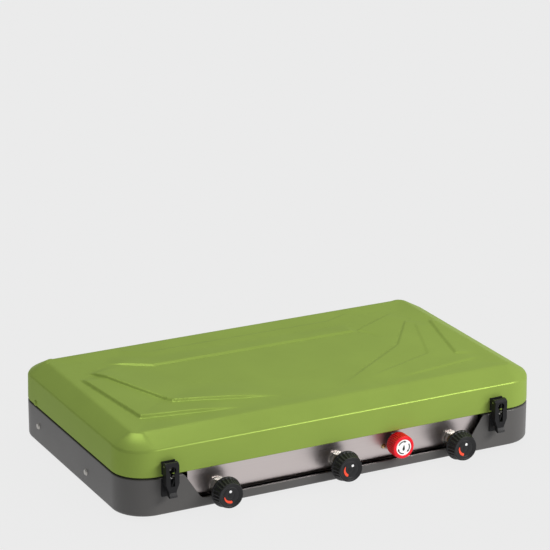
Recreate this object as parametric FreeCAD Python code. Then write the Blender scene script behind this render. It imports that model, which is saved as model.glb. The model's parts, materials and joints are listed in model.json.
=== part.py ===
"""Closed two-burner gas camping stove with a central infrared grill and a hinged lid.

Millimetres. +Z up, the controls face -Y, +X to the right of somebody at the controls.
The origin is on the ground, under the middle of the stove.
"""
import FreeCAD, Part
import math
import os

V = FreeCAD.Vector

# ---------------------------------------------------------------- driving dimensions
CASE_W, CASE_D, CASE_R = 545.0, 321.0, 40.0      # plan size and plan corner radius
FOOT_H = 6.5
BASE_TOP = 52.0                                  # upper edge of the base
LID_Z, CREASE_Z, TOP_Z = 54.0, 86.5, 99.0        # lid edge, lid crease, lid top
SHEET = 1.2                                      # painted sheet steel
STAINLESS = 0.8
LID_DRAFT = 0.6                                  # lid wall leans in by this much at the crease
TOP_INSET_X, TOP_INSET_Y, TOP_R = 25.0, 29.0, 8.0
RIM = 9.0                                        # folded rim of the base
LID_HEM = 5.0                                    # folded hem of the lid

NOTCH_TOP, NOTCH_BOTTOM, NOTCH_Z = 197.0, 175.0, 18.0   # opening in the front wall
NOTCH_MIDDLE = -3.3                              # the opening is a little left of the middle
PANEL_SETBACK, PANEL_HALF, PANEL_FOOT = 9.0, 192.0, 15.0
PANEL_BEND = 6.0
PANEL_SCREW = (62.3, 33.5)
DECK_SCREW_X = (-175.0, -60.0, 60.0, 175.0)

BURNER_X, BURNER_Y = 154.0, 20.0
AXIS_Z, CENTRE_AXIS_Z = 26.1, 28.6               # heights of the outer taps and of the grill tap
BASIN_X, BASIN_Y0, BASIN_Y1, BASIN_Z = 252.0, -102.0, 142.0, 40.0
BURNER_HOLE = 31.0
GRILL_X, GRILL_Y0, GRILL_Y1 = 52.0, -50.0, 90.0
TUBE_R, TUBE_MOUTH_Y = 8.0, -92.0                # mixing tubes

KNOB_BACK, KNOB_FACE = 12.0, 26.5                # distances in front of the front wall
KNOB_SKIRT_R, KNOB_FACE_R = 18.5, 15.2
PUSH = 3.0                                       # travel of a pushed tap
STEM_R, STEM_FLAT = 3.0, 2.0
PLUG_R = 5.5
TAP_FRONT, TAP_BACK = -140.0, -106.0
RUNNING = 0.05                                   # radial clearance of a turning fit

IGNITER_X, IGNITER_Z, IGNITER_R, DISC_R = 75.9, 38.2, 14.2, 9.7

PIPE_R, PIPE_BORE, PIPE_BEND = 4.2, 3.2, 14.0
PIPE_Y, PIPE_Z, PIPE_X = -118.0, 15.5, 215.0
INLET_Z, INLET_R, INLET_END = 28.0, 6.58, 189.5  # male thread of the hose fitting
INLET_SHANK_R, INLET_SHANK_END = 7.2, 168.0

SUPPORT_X, SUPPORT_Y0, SUPPORT_Y1, SUPPORT_Z = 240.0, -92.0, 130.0, 58.0
WIRE_R = 2.5

LATCHES = (("left", -220.2), ("right", 210.5))
LATCH_W, LATCH_TIP_W = 16.4, 9.4
LATCH_PIVOT_Y, LATCH_PIVOT_Z = -167.5, 68.5
LATCH_FRONT, LATCH_TIP_Z = -173.5, 31.5
LATCH_PIN_R = 1.2
LATCH_SCREW_Z = 63.8

HINGE_X, HINGE_Y, HINGE_Z = 150.0, 163.6, 53.0
KNUCKLE_R, HINGE_PIN_R = 2.6, 1.4
LEAF_W, KNUCKLE_W, LEAF_T = 40.0, 12.0, 1.2

FOOT_X, FOOT_Y, FOOT_R = 222.0, 108.0, 12.0

FRONT = -CASE_D / 2
BACK = CASE_D / 2
SIDE = CASE_W / 2
FLOOR = FOOT_H + SHEET                           # upper face of the base floor
PANEL_Y = FRONT + PANEL_SETBACK                  # outer face of the front panel
DECK_SCREW_Y = PANEL_Y + 6.0
TRAY_TOP = BASE_TOP + STAINLESS
BASIN_FLOOR = BASIN_Z + STAINLESS
KNOB_BACK_Y, KNOB_FACE_Y = FRONT - KNOB_BACK, FRONT - KNOB_FACE
STEM_TIP_Y = KNOB_FACE_Y + 6.0
IGNITER_BACK, IGNITER_FACE = FRONT + 1.0, FRONT - 16.0
TAPS = (("left", -BURNER_X, AXIS_Z), ("centre", 0.0, CENTRE_AXIS_Z), ("right", BURNER_X, AXIS_Z))
SIDES = (("left", -1), ("right", 1))


# ---------------------------------------------------------------- helpers
def block(x, y, z):
    """Box between pairs of coordinates."""
    return Part.makeBox(x[1] - x[0], y[1] - y[0], z[1] - z[0], V(x[0], y[0], z[0]))


def rod(radius, start, end):
    start, end = V(*start), V(*end)
    return Part.makeCylinder(radius, (end - start).Length, start, end - start)


def rod_y(radius, x, z, y0, y1):
    return rod(radius, (x, y0, z), (x, y1, z))


def rod_x(radius, y, z, x0, x1):
    return rod(radius, (x0, y, z), (x1, y, z))


def fuse(*shapes):
    return shapes[0].multiFuse(list(shapes[1:])).removeSplitter()


def rounded_rect(x, y, radius, z):
    """Closed wire: x and y are pairs of limits."""
    k = radius * (1 - math.sqrt(0.5))
    x0, x1, y0, y1 = x[0], x[1], y[0], y[1]
    corners = (
        ((x1 - radius, y0), (x1 - k, y0 + k), (x1, y0 + radius)),
        ((x1, y1 - radius), (x1 - k, y1 - k), (x1 - radius, y1)),
        ((x0 + radius, y1), (x0 + k, y1 - k), (x0, y1 - radius)),
        ((x0, y0 + radius), (x0 + k, y0 + k), (x0 + radius, y0)),
    )
    edges = []
    for i, corner in enumerate(corners):
        start, middle, end = (V(p[0], p[1], z) for p in corner)
        nxt = corners[(i + 1) % 4][0]
        edges.append(Part.Arc(start, middle, end).toShape())
        edges.append(Part.LineSegment(end, V(nxt[0], nxt[1], z)).toShape())
    return Part.Wire(edges)


def slab(x, y, radius, z):
    """Rounded rectangle between the two heights in z."""
    return Part.Face(rounded_rect(x, y, radius, z[0])).extrude(V(0, 0, z[1] - z[0]))


def case_wire(inset_x, inset_y, radius, z):
    x = SIDE - inset_x
    y = BACK - inset_y
    return rounded_rect((-x, x), (-y, y), radius, z)


def polygon(points):
    return Part.Face(Part.makePolygon([V(*p) for p in points] + [V(*points[0])]))


def lathe_z(profile, x, y):
    """Turned piece about a vertical axis; the profile holds (radius, height)."""
    face = polygon([(r, 0, h) for r, h in profile])
    turned = face.revolve(V(0, 0, 0), V(0, 0, 1), 360)
    turned.translate(V(x, y, 0))
    return turned


def lathe_y(profile, x, z):
    """Turned piece about an axis along Y; the profile holds (radius, y)."""
    face = polygon([(r, y, 0) for r, y in profile])
    turned = face.revolve(V(0, 0, 0), V(0, 1, 0), 360)
    turned.translate(V(x, 0, z))
    return turned


def bent_rod(points, bend, radius):
    """Round bar along straight runs joined by tangent arcs of one radius."""
    points = [V(*p) for p in points]
    edges = []
    last = points[0]
    for before, corner, after in zip(points, points[1:], points[2:]):
        u = (before - corner).normalize()
        w = (after - corner).normalize()
        half = u.getAngle(w) / 2
        reach = bend / math.tan(half)
        middle = corner + (u + w).normalize() * (bend / math.sin(half) - bend)
        start, end = corner + u * reach, corner + w * reach
        if (start - last).Length > 1e-6:
            edges.append(Part.LineSegment(last, start).toShape())
        edges.append(Part.Arc(start, middle, end).toShape())
        last = end
    edges.append(Part.LineSegment(last, points[-1]).toShape())
    path = Part.Wire(edges)
    section = Part.Wire([Part.makeCircle(radius, points[0], points[1] - points[0])])
    return path.makePipeShell([section], True, False)


def hexagon_y(across_flats, x, z, y0, y1):
    r = across_flats / math.sqrt(3)
    corners = [(x + r * math.cos(math.radians(60 * i)), y0, z + r * math.sin(math.radians(60 * i)))
               for i in range(6)]
    return polygon(corners).extrude(V(0, y1 - y0, 0))


def d_rod(radius, flat, x, z, y0, y1):
    """Round bar along Y with one flat on its upper side."""
    cut = block((x - radius, x + radius), (y0, y1), (z + flat, z + radius + 1))
    return rod_y(radius, x, z, y0, y1).cut(cut)


def mirror(shape):
    return shape.mirror(V(0, 0, 0), V(1, 0, 0))


def both(shape):
    """The same piece on the left and on the right."""
    return Part.makeCompound([shape, mirror(shape)])


def save(name, shape):
    for solid in shape.Solids:
        if not solid.isValid():
            raise ValueError(name + " is not a valid solid")
    shape.exportStep(os.path.join("parts", name + ".step"))


# ---------------------------------------------------------------- base
def base_shell():
    """Painted steel tray with a folded rim and an opening in its front wall."""
    outer = slab((-SIDE, SIDE), (FRONT, BACK), CASE_R, (FOOT_H, BASE_TOP))
    outer = outer.makeFillet(3.5, [e for e in outer.Edges if e.BoundBox.ZMax < FOOT_H + 0.1])
    x, y = SIDE - SHEET, BACK - SHEET
    inner = slab((-x, x), (-y, y), CASE_R - SHEET, (FLOOR, BASE_TOP - SHEET))
    mouth = slab((-x + RIM, x - RIM), (-y + RIM, y - RIM), CASE_R - SHEET - RIM,
                 (FLOOR, BASE_TOP + 1))
    shell = outer.cut(inner).cut(mouth)
    corners = ((-NOTCH_TOP, BASE_TOP + 1), (-NOTCH_BOTTOM, NOTCH_Z), (NOTCH_BOTTOM, NOTCH_Z),
               (NOTCH_TOP, BASE_TOP + 1))
    notch = polygon([(NOTCH_MIDDLE + x, FRONT - 1, z) for x, z in corners])
    shell = shell.cut(notch.extrude(V(0, RIM + SHEET + 2, 0)))
    lip = block((NOTCH_MIDDLE - NOTCH_BOTTOM, NOTCH_MIDDLE + NOTCH_BOTTOM), (FRONT + SHEET / 2, FRONT + 3),
                (NOTCH_Z - SHEET, NOTCH_Z))
    shell = fuse(shell, lip)
    shell = shell.cut(rod_y(INLET_SHANK_R + 0.2, PIPE_X, INLET_Z, BACK - 3, BACK + 1))
    for x_foot, y_foot in foot_places():
        shell = shell.cut(rod(2.1, (x_foot, y_foot, FOOT_H - 1), (x_foot, y_foot, FLOOR + 1)))
    return shell


def foot_places():
    return [(sx * FOOT_X, sy * FOOT_Y) for sx in (-1, 1) for sy in (-1, 1)]


def rubber_foot(x, y):
    profile = [(2.1, FOOT_H), (FOOT_R, FOOT_H), (FOOT_R - 1.5, 1.0), (FOOT_R - 2.5, 0),
               (6.0, 0), (6.0, 4.0), (2.1, 4.0)]
    return lathe_z(profile, x, y)


def foot_screw(x, y):
    profile = [(0, 1.6), (4.2, 1.6), (4.2, 4.0), (2.0, 4.0), (2.0, FLOOR + 4), (0, FLOOR + 4)]
    return lathe_z(profile, x, y)


def side_screws():
    """Pan-head screws through each side wall of the base."""
    screws = []
    for y, z in ((96.5, 30.4), (-47.4, 25.2)):
        head = Part.makeCone(4.2, 3.0, 1.6, V(-SIDE, y, z), V(-1, 0, 0))
        screws.append(head)
        screws.append(mirror(head))
    return Part.makeCompound(screws)


def front_panel():
    """Upright stainless panel behind the opening, with its foot rolled inward."""
    outer, inner = PANEL_Y, PANEL_Y + STAINLESS
    top = BASE_TOP - 0.1
    wall = block((-PANEL_HALF, PANEL_HALF), (outer, inner), (PANEL_FOOT + PANEL_BEND, top))
    flange = block((-PANEL_HALF, PANEL_HALF), (outer, outer + 11), (top - STAINLESS, top))
    roll = rod_x(PANEL_BEND, outer + PANEL_BEND, PANEL_FOOT + PANEL_BEND, -PANEL_HALF, PANEL_HALF)
    roll = roll.cut(rod_x(PANEL_BEND - STAINLESS, outer + PANEL_BEND, PANEL_FOOT + PANEL_BEND,
                          -PANEL_HALF, PANEL_HALF))
    quarter = block((-PANEL_HALF, PANEL_HALF), (outer, outer + PANEL_BEND),
                    (PANEL_FOOT, PANEL_FOOT + PANEL_BEND))
    foot = block((-PANEL_HALF, PANEL_HALF), (outer + PANEL_BEND, outer + PANEL_BEND + 8),
                 (PANEL_FOOT, PANEL_FOOT + STAINLESS))
    panel = fuse(wall, flange, roll.common(quarter), foot)
    for _, x, z in TAPS:
        panel = panel.cut(rod_y(7.7, x, z, outer - 1, inner + 1))
    panel = panel.cut(rod_y(6.7, IGNITER_X, IGNITER_Z, outer - 1, inner + 1))
    panel = panel.cut(rod_y(1.6, PANEL_SCREW[0], PANEL_SCREW[1], outer - 1, inner + 1))
    for x in DECK_SCREW_X:
        panel = panel.cut(rod(1.6, (x, DECK_SCREW_Y, top - 2), (x, DECK_SCREW_Y, top + 1)))
    return panel


def panel_screw():
    x, z = PANEL_SCREW
    profile = [(0, PANEL_Y - 1.8), (2.2, PANEL_Y - 1.6), (3.0, PANEL_Y), (1.5, PANEL_Y),
               (1.5, PANEL_Y + 5), (0, PANEL_Y + 5)]
    return lathe_y(profile, x, z)


def deck_screw(x):
    profile = [(0, TRAY_TOP + 1.7), (2.4, TRAY_TOP + 1.3), (3.0, TRAY_TOP), (1.5, TRAY_TOP),
               (1.5, TRAY_TOP - 6), (0, TRAY_TOP - 6)]
    return lathe_z(profile, x, DECK_SCREW_Y)


def hob_tray():
    """Stainless hob plate: a flat deck round a sunken basin with the burner openings."""
    edge = 6.0
    x, y = SIDE - edge, BACK - edge
    deck = slab((-x, x), (-y, y), CASE_R - edge, (BASE_TOP, TRAY_TOP))
    t = STAINLESS
    basin = slab((-BASIN_X - t, BASIN_X + t), (BASIN_Y0 - t, BASIN_Y1 + t), 20 + t, (BASIN_Z, TRAY_TOP))
    hollow = slab((-BASIN_X, BASIN_X), (BASIN_Y0, BASIN_Y1), 20, (BASIN_FLOOR, TRAY_TOP + 1))
    tray = fuse(deck, basin).cut(hollow)
    front_cut = block((NOTCH_MIDDLE - NOTCH_TOP - 2, NOTCH_MIDDLE + NOTCH_TOP + 2), (FRONT, PANEL_Y),
                      (BASIN_Z, TRAY_TOP + 1))
    tray = tray.cut(front_cut)
    for _, side in SIDES:
        x = side * BURNER_X
        tray = tray.cut(rod(BURNER_HOLE, (x, BURNER_Y, BASIN_Z - 1), (x, BURNER_Y, TRAY_TOP)))
    tray = tray.cut(slab((-GRILL_X - 1, GRILL_X + 1), (GRILL_Y0 - 1, GRILL_Y1 + 1), 4,
                         (BASIN_Z - 1, TRAY_TOP)))
    for x, y in electrode_places():
        tray = tray.cut(rod(3.3, (x, y, BASIN_Z - 1), (x, y, TRAY_TOP)))
    for x in DECK_SCREW_X:
        tray = tray.cut(rod(1.6, (x, DECK_SCREW_Y, BASE_TOP - 1), (x, DECK_SCREW_Y, TRAY_TOP + 1)))
    return tray


def lid_bumper(x, y):
    """Rubber button on the deck that the closed lid rests on."""
    return lathe_z([(0, TRAY_TOP), (1.9, TRAY_TOP), (1.9, LID_Z - 0.15), (0, LID_Z - 0.15)], x, y)


# ---------------------------------------------------------------- burners and grill
def burner_body(x):
    """Cast bowl with a mounting flange, flame ports round its rim and a mixing-tube socket."""
    outline = [(0, 16), (20, 16), (30, 22), (30, BASIN_FLOOR), (40, BASIN_FLOOR), (40, 42.4),
               (34, 43.5), (34, 47), (30, 47), (27, 44), (27, 24), (19, 19), (0, 19)]
    body = lathe_z(outline, x, BURNER_Y)
    boss = rod_y(11, x, AXIS_Z, BURNER_Y - 40, BURNER_Y - 26)
    boss = boss.cut(lathe_z([(0, 16), (28, 16), (28, 45), (0, 45)], x, BURNER_Y))
    body = fuse(body, boss).cut(rod_y(TUBE_R + RUNNING, x, AXIS_Z, BURNER_Y - 41, BURNER_Y - 20))
    ports = 24
    for i in range(ports):
        port = block((x + 29, x + 35), (BURNER_Y - 0.9, BURNER_Y + 0.9), (44.6, 48))
        port.rotate(V(x, BURNER_Y, 0), V(0, 0, 1), 360.0 * i / ports)
        body = body.cut(port)
    return body


def burner_cap(x):
    outline = [(0, 47), (36, 47), (37, 48), (37, 50), (33, 52), (10, 53.2), (0, 53.2)]
    return lathe_z(outline, x, BURNER_Y)


def mixing_tube(x, z, end_y):
    """Thin tube with a flared mouth, from the jet to the burner or grill."""
    r, mouth = TUBE_R, TUBE_MOUTH_Y
    outline = [(r, end_y), (r, mouth + 7), (r + 3, mouth), (r + 2.2, mouth), (r - 0.8, mouth + 7),
               (r - 0.8, end_y)]
    return lathe_y(outline, x, z)


def grill_housing():
    """Open sheet box below the ceramic plate, hung in the basin by its flange."""
    x, y = (-GRILL_X, GRILL_X), (GRILL_Y0, GRILL_Y1)
    box = slab(x, y, 3, (20, 46))
    flange = slab((x[0] - 6, x[1] + 6), (y[0] - 6, y[1] + 6), 6, (BASIN_FLOOR, BASIN_FLOOR + SHEET))
    socket = rod_y(TUBE_R + 2, 0, CENTRE_AXIS_Z, GRILL_Y0 - 7, GRILL_Y0 + 1)
    hollow = slab((x[0] + SHEET, x[1] - SHEET), (y[0] + SHEET, y[1] - SHEET), 2, (20 + SHEET, 47))
    housing = fuse(box, flange, socket).cut(hollow)
    return housing.cut(rod_y(TUBE_R + RUNNING, 0, CENTRE_AXIS_Z, GRILL_Y0 - 8, GRILL_Y0 + 3))


def grill_plate():
    """Ceramic burner plate of the grill."""
    x = GRILL_X - SHEET
    return slab((-x, x), (GRILL_Y0 + SHEET, GRILL_Y1 - SHEET), 2, (36, 45.2))


def grill_guard():
    """Wire guard over the ceramic plate, on four short legs."""
    x, y0, y1, z = GRILL_X + 3, GRILL_Y0 - 3, GRILL_Y1 + 3, 49.0
    bars = [rod_x(1.4, y, z, -x, x) for y in (y0, y1)]
    bars += [rod_y(1.4, sx * x, z, y0, y1) for sx in (-1, 1)]
    bars += [Part.makeSphere(1.4, V(sx * x, y, z)) for sx in (-1, 1) for y in (y0, y1)]
    bars += [rod(1.4, (sx * x, y, BASIN_FLOOR + SHEET), (sx * x, y, z)) for sx in (-1, 1) for y in (y0, y1)]
    across, along = 9, 7
    bars += [rod_x(0.9, y0 + (y1 - y0) * (i + 1) / (across + 1), z, -x, x) for i in range(across)]
    bars += [rod_y(0.9, -x + 2 * x * (i + 1) / (along + 1), z, y0, y1) for i in range(along)]
    return fuse(*bars)


def electrode_places():
    """Right of each burner and of the grill."""
    return [(-BURNER_X + 46, BURNER_Y), (GRILL_X + 13, BURNER_Y), (BURNER_X + 46, BURNER_Y)]


def electrode_ceramic(x, y):
    return lathe_z([(0.85, 30), (3, 30), (3, 48), (2, 50), (0.85, 50)], x, y)


def electrode_tip(x, y):
    """Spark wire that leans towards the flame."""
    return bent_rod([(x, y, 29), (x, y, 54.5), (x - 7, y, 56)], 1.6, 0.8)


def ignition_leads():
    """Insulated leads from the spark generator, down to the floor, along it and up to each electrode."""
    low, top = 12.0, 28.9
    start_y, drop_y, run_y = -111.9, -96.0, -87.0
    leads = []
    for offset, (x, y) in zip((-4.0, 0.0, 4.0), electrode_places()):
        start_x = IGNITER_X + offset
        route = [(start_x, start_y, IGNITER_Z), (start_x, drop_y, IGNITER_Z), (start_x, run_y, low),
                 (x, run_y if abs(x - start_x) > 20 else run_y + 33, low), (x, y, low), (x, y, top)]
        leads.append(bent_rod(route, 6.0, 1.25))
    return Part.makeCompound(leads)


# ---------------------------------------------------------------- gas supply
def gas_pipe():
    """Supply rail below the taps, closed at its left end, then back to the rear inlet."""
    left, bend = -BURNER_X - 14, PIPE_BEND
    route = [(PIPE_X, PIPE_Y, PIPE_Z), (PIPE_X, 112, PIPE_Z), (PIPE_X, 132, INLET_Z),
             (PIPE_X, BACK - 6, INLET_Z)]
    outside = bent_rod([(left, PIPE_Y, PIPE_Z)] + route, bend, PIPE_R)
    return outside.cut(bent_rod([(left + 3, PIPE_Y, PIPE_Z)] + route, bend, PIPE_BORE))


def gas_inlet():
    """Male hose fitting that leaves the rear wall."""
    wall = BACK - SHEET
    profile = [(3.0, wall - 4), (PIPE_R, wall - 4), (PIPE_R, wall - 10), (9.0, wall - 10), (9.0, wall),
               (INLET_SHANK_R, wall), (INLET_SHANK_R, INLET_SHANK_END), (INLET_R, INLET_SHANK_END),
               (INLET_R, INLET_END - 1), (INLET_R - 1, INLET_END), (3.0, INLET_END)]
    return lathe_y(profile, PIPE_X, INLET_Z)


def inlet_locknut():
    nut = hexagon_y(19, PIPE_X, INLET_Z, BACK, BACK + 6)
    return nut.cut(rod_y(INLET_SHANK_R, PIPE_X, INLET_Z, BACK - 1, BACK + 7))


def tap_body(x, z):
    """Brass tap clamped on the supply rail, with a jet holder at its rear."""
    body = block((x - 11, x + 11), (TAP_FRONT, TAP_BACK), (17.5, z + 9.5))
    saddle = block((x - 8, x + 8), (PIPE_Y - 8, PIPE_Y + 8), (9.6, 18))
    holder = rod_y(6.5, x, z, TAP_BACK, TAP_BACK + 7)
    body = fuse(body, saddle, holder)
    body = body.cut(rod_y(PLUG_R + RUNNING, x, z, TAP_FRONT - 1, TAP_FRONT + 20.2))
    body = body.cut(rod_y(1.5, x, z, TAP_FRONT + 18, TAP_BACK + 8))
    return body.cut(rod_x(PIPE_R + RUNNING, PIPE_Y, PIPE_Z, x - 12, x + 12))


def tap_gland(x, z):
    """Front cover of a tap, with the threaded neck that goes through the panel."""
    profile = [(STEM_R + RUNNING, TAP_FRONT), (9.5, TAP_FRONT), (9.5, TAP_FRONT - 3),
               (7.4, TAP_FRONT - 3), (7.4, PANEL_Y - 6.5), (STEM_R + RUNNING, PANEL_Y - 6.5)]
    return lathe_y(profile, x, z)


def tap_collar(x, z):
    """Bright hexagon nut and washer on the panel."""
    washer = rod_y(10.5, x, z, PANEL_Y - 1.2, PANEL_Y)
    nut = hexagon_y(17, x, z, PANEL_Y - 5.8, PANEL_Y - 1.2)
    chamfer = Part.makeCone(8.9, 10.5, 4.6, V(x, PANEL_Y - 5.8, z), V(0, 1, 0))
    nut = nut.common(chamfer)
    return fuse(washer, nut).cut(rod_y(7.5, x, z, PANEL_Y - 7, PANEL_Y + 1))


def gas_jet(x, z):
    start = TAP_BACK + 7
    profile = [(0.5, start), (4.4, start), (4.4, start + 3), (2.6, start + 5), (0.5, start + 5)]
    return lathe_y(profile, x, z)


def tap_plug(x, z):
    """Turning plug of a tap; the flatted stem slides in it."""
    plug = rod_y(PLUG_R, x, z, TAP_FRONT + 0.3, TAP_FRONT + 20)
    return plug.cut(d_rod(STEM_R + RUNNING, STEM_FLAT + RUNNING, x, z, TAP_FRONT - 1, TAP_FRONT + 17.6))


def tap_stem(x, z):
    """Flatted spindle, keyed in the plug and pressed into the knob."""
    inner = TAP_FRONT + 17.6 - PUSH - 0.6
    shoulder = TAP_FRONT - PUSH - 0.4
    keyed = d_rod(STEM_R, STEM_FLAT, x, z, shoulder, inner)
    neck = rod_y(STEM_R, x, z, PANEL_Y - 8, shoulder)
    end = d_rod(STEM_R, STEM_FLAT, x, z, STEM_TIP_Y, PANEL_Y - 8)
    return fuse(keyed, neck, end)


def knob(x, z):
    """Tapered control knob with grip ribs and a hollow back."""
    back, face = KNOB_BACK_Y, KNOB_FACE_Y
    rim, skirt = KNOB_FACE_R, KNOB_SKIRT_R
    outline = [(0, face + 0.8), (rim - 3, face + 0.8), (rim - 2, face), (rim - 1, face), (rim, face + 1),
               (rim, face + 2.5), (skirt - 1.2, back - 3), (skirt - 0.2, back - 2), (skirt, back - 1),
               (skirt - 0.6, back), (skirt - 2, back), (skirt - 6, back - 5), (6, back - 5), (6, back),
               (0, back)]
    shape = lathe_y(outline, x, z)
    ribs = 12
    sides = ((face + 2.5, rim - 0.5), (back - 2.5, skirt - 2), (back - 2.5, skirt - 0.4),
             (face + 2.5, rim + 0.7))
    for i in range(ribs):
        rib = polygon([(x - 1, y, z + r) for y, r in sides]).extrude(V(2, 0, 0))
        rib.rotate(V(x, 0, z), V(0, 1, 0), 360.0 * i / ribs)
        shape = shape.fuse(rib)
    return shape.cut(d_rod(STEM_R, STEM_FLAT, x, z, STEM_TIP_Y, back + 1)).removeSplitter()


# ---------------------------------------------------------------- igniter
def igniter_body():
    """Rotary spark generator behind the panel."""
    profile = [(2.5 + RUNNING, PANEL_Y - 4), (6.5, PANEL_Y - 4), (6.5, PANEL_Y + STAINLESS),
               (8.5, PANEL_Y + STAINLESS), (8.5, -112), (0, -112), (0, -128), (2.5 + RUNNING, -128)]
    return lathe_y(profile, IGNITER_X, IGNITER_Z)


def igniter_bezel():
    profile = [(6.6, PANEL_Y), (8.6, PANEL_Y), (8.6, IGNITER_BACK + 1), (2.9, IGNITER_BACK + 1),
               (2.9, IGNITER_BACK + 2.5), (6.6, IGNITER_BACK + 2.5)]
    return lathe_y(profile, IGNITER_X, IGNITER_Z)


def igniter_shaft():
    return d_rod(2.5, 2.5, IGNITER_X, IGNITER_Z, IGNITER_FACE + 5, -129)


def igniter_knob():
    """Ribbed round knob with a recess for its face disc."""
    back, face, r = IGNITER_BACK, IGNITER_FACE, IGNITER_R
    seat = DISC_R + 0.1
    outline = [(0, face + 1.2), (seat, face + 1.2), (seat, face), (r - 1.8, face), (r - 0.8, face + 1),
               (r - 0.8, back), (r - 2.6, back), (r - 2.6, back - 8), (5, back - 8), (5, back), (0, back)]
    shape = lathe_y(outline, IGNITER_X, IGNITER_Z)
    ribs = 18
    for i in range(ribs):
        rib = rod_y(1.1, IGNITER_X, IGNITER_Z + r - 1.1, back, face + 1.2)
        rib.rotate(V(IGNITER_X, 0, IGNITER_Z), V(0, 1, 0), 360.0 * i / ribs)
        shape = shape.fuse(rib)
    return shape.cut(rod_y(2.5, IGNITER_X, IGNITER_Z, face + 5, back + 1)).removeSplitter()


def igniter_disc():
    return rod_y(DISC_R, IGNITER_X, IGNITER_Z, IGNITER_FACE + 0.2, IGNITER_FACE + 1.2)


# ---------------------------------------------------------------- pan support
def pan_support():
    """Chromed wire grid, welded from a frame, cross bars and legs that stand in the basin."""
    x, y0, y1, z = SUPPORT_X, SUPPORT_Y0, SUPPORT_Y1, SUPPORT_Z
    bend = 14.0
    frame = [rod_x(WIRE_R, y, z, -x + bend, x - bend) for y in (y0, y1)]
    frame += [rod_y(WIRE_R, sx * x, z, y0 + bend, y1 - bend) for sx in (-1, 1)]
    middles = ((x - bend, y1 - bend), (-x + bend, y1 - bend), (-x + bend, y0 + bend), (x - bend, y0 + bend))
    for i, middle in enumerate(middles):
        quarter = Part.makeTorus(bend, WIRE_R, V(0, 0, 0), V(0, 0, 1), -180, 180, 90)
        quarter.rotate(V(0, 0, 0), V(0, 0, 1), 90 * i)
        quarter.translate(V(middle[0], middle[1], z))
        frame.append(quarter)
    legs = [rod(WIRE_R, (sx * (x - 20), y, BASIN_FLOOR), (sx * (x - 20), y, z))
            for sx in (-1, 1) for y in (y0, y1)]
    bars = 12
    pitch = 2 * x / bars
    rise = 2 * WIRE_R - 0.8
    cross = [rod_y(WIRE_R, -x + pitch * (i + 0.5), z + rise, y0 - 4, y1 + 4) for i in range(bars)]
    return fuse(*(frame + legs + cross))


# ---------------------------------------------------------------- lid
def lid_shell():
    """Pressed lid: nearly upright walls, a crease and a sloping shoulder up to a flat top."""
    t = SHEET
    outer = Part.makeLoft([case_wire(0, 0, CASE_R, LID_Z),
                           case_wire(LID_DRAFT, LID_DRAFT, CASE_R - LID_DRAFT, CREASE_Z),
                           case_wire(TOP_INSET_X, TOP_INSET_Y, TOP_R, TOP_Z)], True, True)
    inner = Part.makeLoft([case_wire(t, t, CASE_R - t, LID_Z + t),
                           case_wire(LID_DRAFT + t, LID_DRAFT + t, CASE_R - LID_DRAFT - t, CREASE_Z - 0.6),
                           case_wire(TOP_INSET_X + 0.6, TOP_INSET_Y + 0.6, TOP_R, TOP_Z - t)], True, True)
    x, y = SIDE - t - LID_HEM, BACK - t - LID_HEM
    mouth = slab((-x, x), (-y, y), CASE_R - t - LID_HEM, (LID_Z - 1, LID_Z + t + 1))
    return outer.cut(inner).cut(mouth)


def lid_rivet():
    """Painted dome rivet low on the side of the lid."""
    return Part.makeCone(3.6, 2.4, 1.3, V(-SIDE, 104.0, 57.5), V(-1, 0, 0))


# ---------------------------------------------------------------- hinges
def hinge_leaf(z0, z1, knuckles):
    """Leaf on the rear wall with its knuckles rolled round the pin axis."""
    half = LEAF_W / 2
    plate = block((HINGE_X - half, HINGE_X + half), (BACK, BACK + LEAF_T), (z0, z1))
    shapes = [plate]
    for x0, x1 in knuckles:
        shapes.append(rod_x(KNUCKLE_R, HINGE_Y, HINGE_Z, x0, x1))
        shapes.append(block((x0, x1), (BACK, BACK + LEAF_T), (min(z1, HINGE_Z), max(z0, HINGE_Z))))
    leaf = fuse(*shapes)
    return leaf.cut(rod_x(HINGE_PIN_R + RUNNING, HINGE_Y, HINGE_Z, HINGE_X - half - 1, HINGE_X + half + 1))


def base_hinge_leaf():
    half = KNUCKLE_W / 2
    return hinge_leaf(30.0, HINGE_Z - 4, [(HINGE_X - half, HINGE_X + half)])


def lid_hinge_leaf():
    inner, outer = KNUCKLE_W / 2 + 0.4, LEAF_W / 2
    knuckles = [(HINGE_X - outer, HINGE_X - inner), (HINGE_X + inner, HINGE_X + outer)]
    return hinge_leaf(HINGE_Z + 4, 76.0, knuckles)


def hinge_pin():
    half = LEAF_W / 2
    shank = rod_x(HINGE_PIN_R, HINGE_Y, HINGE_Z, HINGE_X - half - 0.5, HINGE_X + half + 0.5)
    heads = [rod_x(2.3, HINGE_Y, HINGE_Z, HINGE_X + half + 0.5, HINGE_X + half + 1.5),
             rod_x(2.3, HINGE_Y, HINGE_Z, HINGE_X - half - 1.5, HINGE_X - half - 0.5)]
    return fuse(shank, *heads)


def leaf_rivets(z):
    y = BACK + LEAF_T
    return [Part.makeCone(2.6, 1.6, 1.2, V(sx * HINGE_X + dx, y, z), V(0, 1, 0))
            for sx in (-1, 1) for dx in (-12, 12)]


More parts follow.
